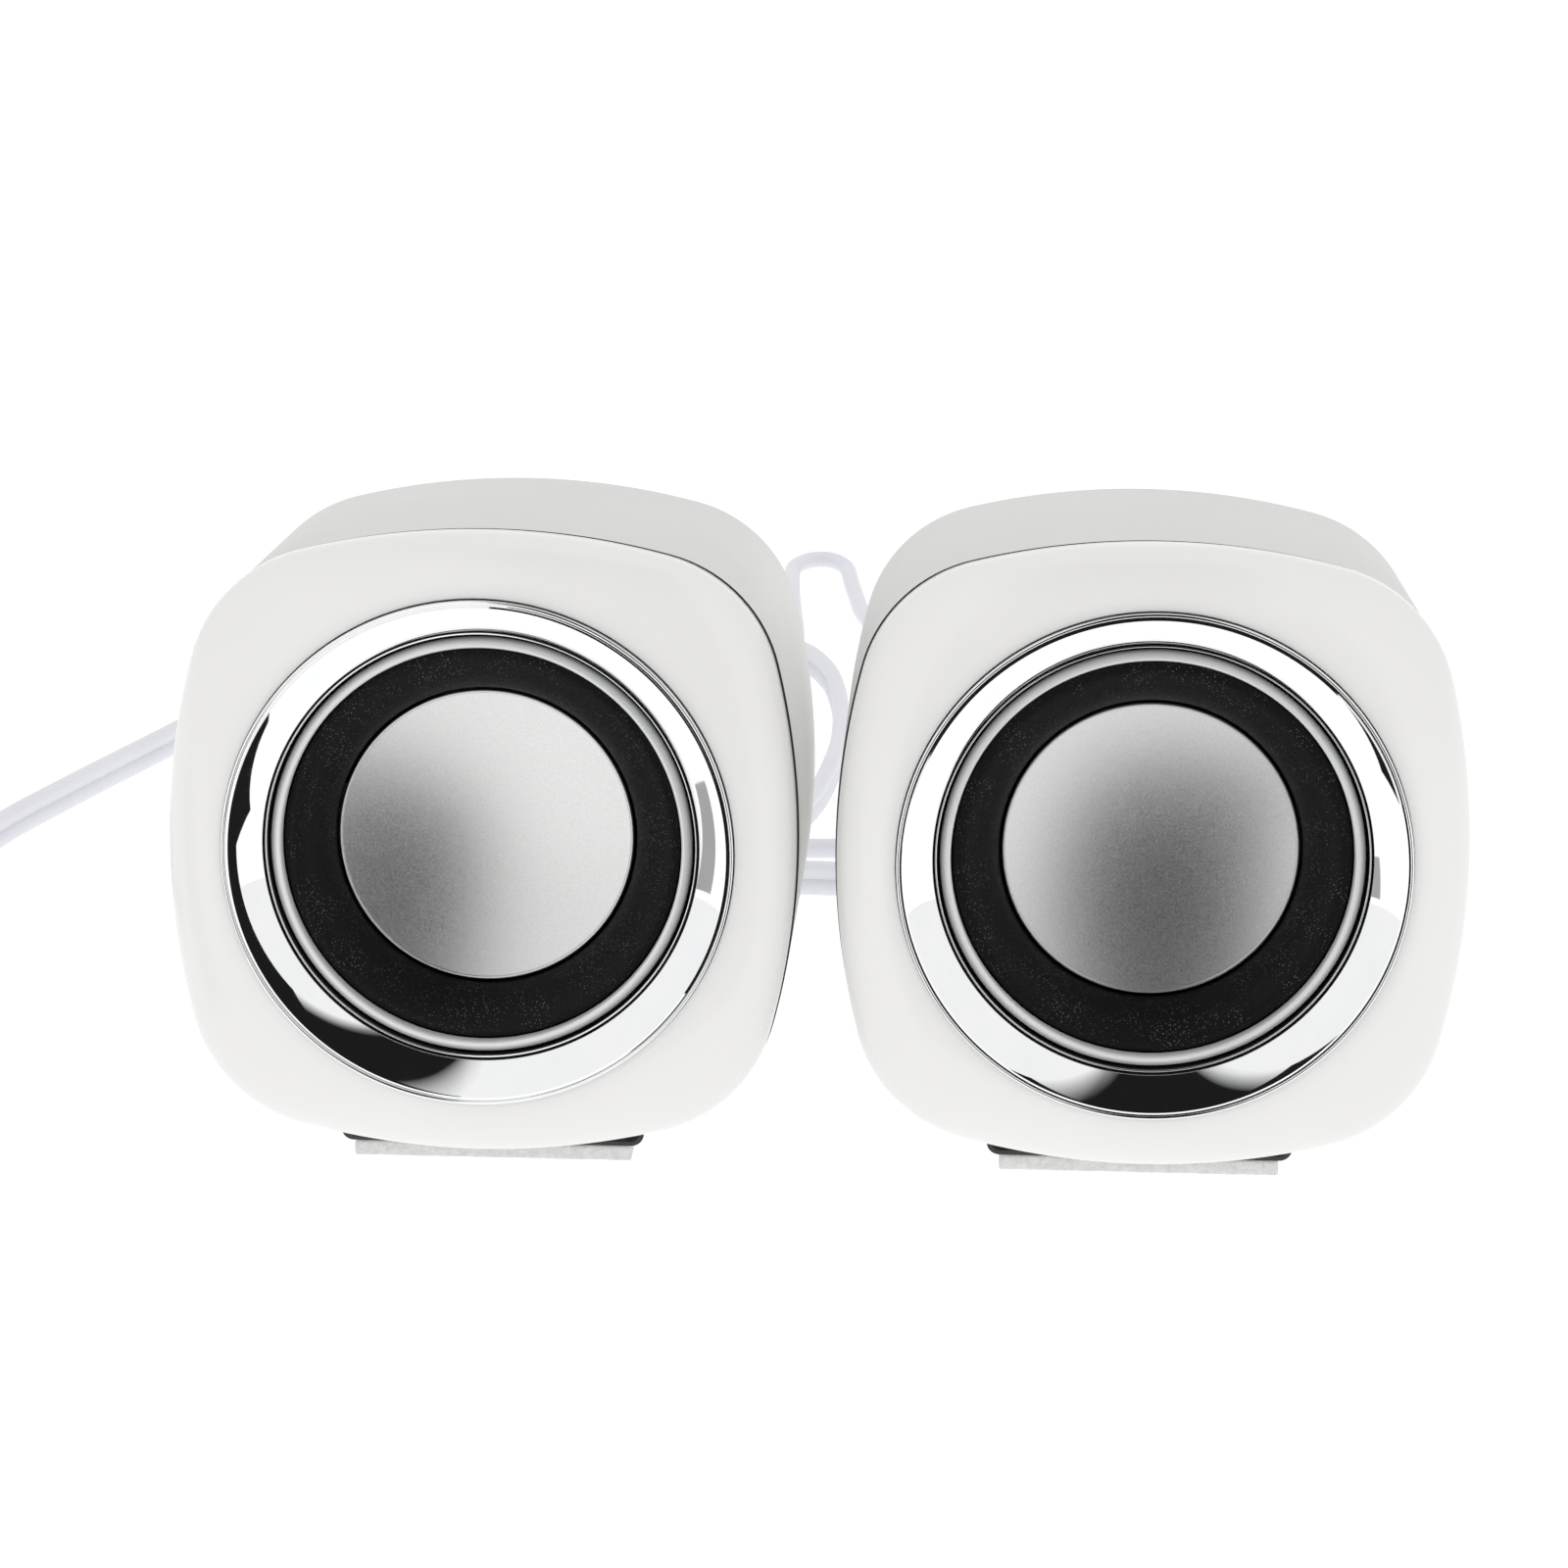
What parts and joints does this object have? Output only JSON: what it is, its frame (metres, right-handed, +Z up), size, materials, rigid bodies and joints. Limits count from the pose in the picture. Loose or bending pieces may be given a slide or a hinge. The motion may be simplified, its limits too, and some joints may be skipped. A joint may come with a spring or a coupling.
{
  "type": "desktop speakers",
  "caption": "Small cube desktop speakers with domed gloss fronts, bright recessed rings, satin dished caps, tilted feet, a link lead and a USB and audio lead.",
  "frame": {"origin": "on the table, at the middle of the two speakers' own box, without the free leads", "axes": "+X from the left speaker to the right one as a listener sees them, +Y from the fronts to the backs, +Z up"},
  "size_m": [0.2653, 0.3316, 0.0774],
  "materials": {
    "gloss_white": "high gloss moulded white",
    "matte_white": "fine matte texture, light warm grey-white",
    "chrome": "bright mirror plating",
    "satin": "fine satin silver",
    "rubber": "dull black",
    "paper": "black pressed paper",
    "copper": "enamelled copper winding",
    "cloth": "varnished corrugated cloth",
    "steel": "zinc plated",
    "ferrite": "dull dark grey ferrite",
    "board": "green solder mask",
    "black_plastic": "black sleeve",
    "foam": "light grey speckled foam",
    "lead": "soft white vinyl with a faint cool tint"
  },
  "bodies": {
    "pair": {"left_front_bezel": "gloss_white", "left_rear_cabinet": "matte_white", "left_chrome_ring": "chrome", "left_trim_ring": "satin", "left_surround": "rubber", "left_spider": "cloth", "left_basket": "steel", "left_top_plate": "steel", "left_magnet": "ferrite", "left_yoke": "steel", "left_terminal_strip": "board", "left_driver_screw_1": "steel", "left_driver_screw_2": "steel", "left_driver_screw_3": "steel", "left_driver_screw_4": "steel", "left_rear_screw_1": "steel", "left_rear_screw_2": "steel", "left_foam_pad": "foam", "right_front_bezel": "gloss_white", "right_rear_cabinet": "matte_white", "right_chrome_ring": "chrome", "right_trim_ring": "satin", "right_surround": "rubber", "right_spider": "cloth", "right_basket": "steel", "right_top_plate": "steel", "right_magnet": "ferrite", "right_yoke": "steel", "right_terminal_strip": "board", "right_driver_screw_1": "steel", "right_driver_screw_2": "steel", "right_driver_screw_3": "steel", "right_driver_screw_4": "steel", "right_rear_screw_1": "steel", "right_rear_screw_2": "steel", "right_foam_pad": "foam", "right_amp_board": "board", "right_filter_capacitor": "black_plastic", "right_potentiometer": "steel", "left_link_grommet": "lead", "right_link_grommet": "lead", "right_main_grommet": "lead", "main_lead": "lead", "link_lead": "lead", "main_lead_coil": "lead", "lead_splitter": "lead", "usb_tail": "lead", "audio_tail": "lead", "usb_plug_body": "lead", "usb_plug_shell": "steel", "jack_plug_body": "lead", "jack_plug_pin": "steel"},
    "left_diaphragm": {"left_dust_cap": "satin", "left_cone": "paper", "left_voice_coil": "copper"},
    "right_diaphragm": {"right_dust_cap": "satin", "right_cone": "paper", "right_voice_coil": "copper"},
    "volume_control": {"right_volume_knob": "gloss_white", "right_control_shaft": "steel"}
  },
  "joints": [
    {"name": "left_diaphragm_travel", "type": "slide", "parent": "pair", "child": "left_diaphragm", "axis": [0, -0.9962, 0.0872], "range_m": [-0.0012, 0.0012], "stiffness_N_per_m": 1000, "deforming": ["left_surround", "left_spider"]},
    {"name": "right_diaphragm_travel", "type": "slide", "parent": "pair", "child": "right_diaphragm", "axis": [0, -0.9962, 0.0872], "range_m": [-0.0012, 0.0012], "stiffness_N_per_m": 1000, "deforming": ["right_surround", "right_spider"]},
    {"name": "volume_turn", "type": "hinge", "parent": "pair", "child": "volume_control", "pos_m": [0.0383, 0.03556, 0.04372], "axis": [0, 0.9962, -0.0872], "range_deg": [-150, 150]}
  ]
}
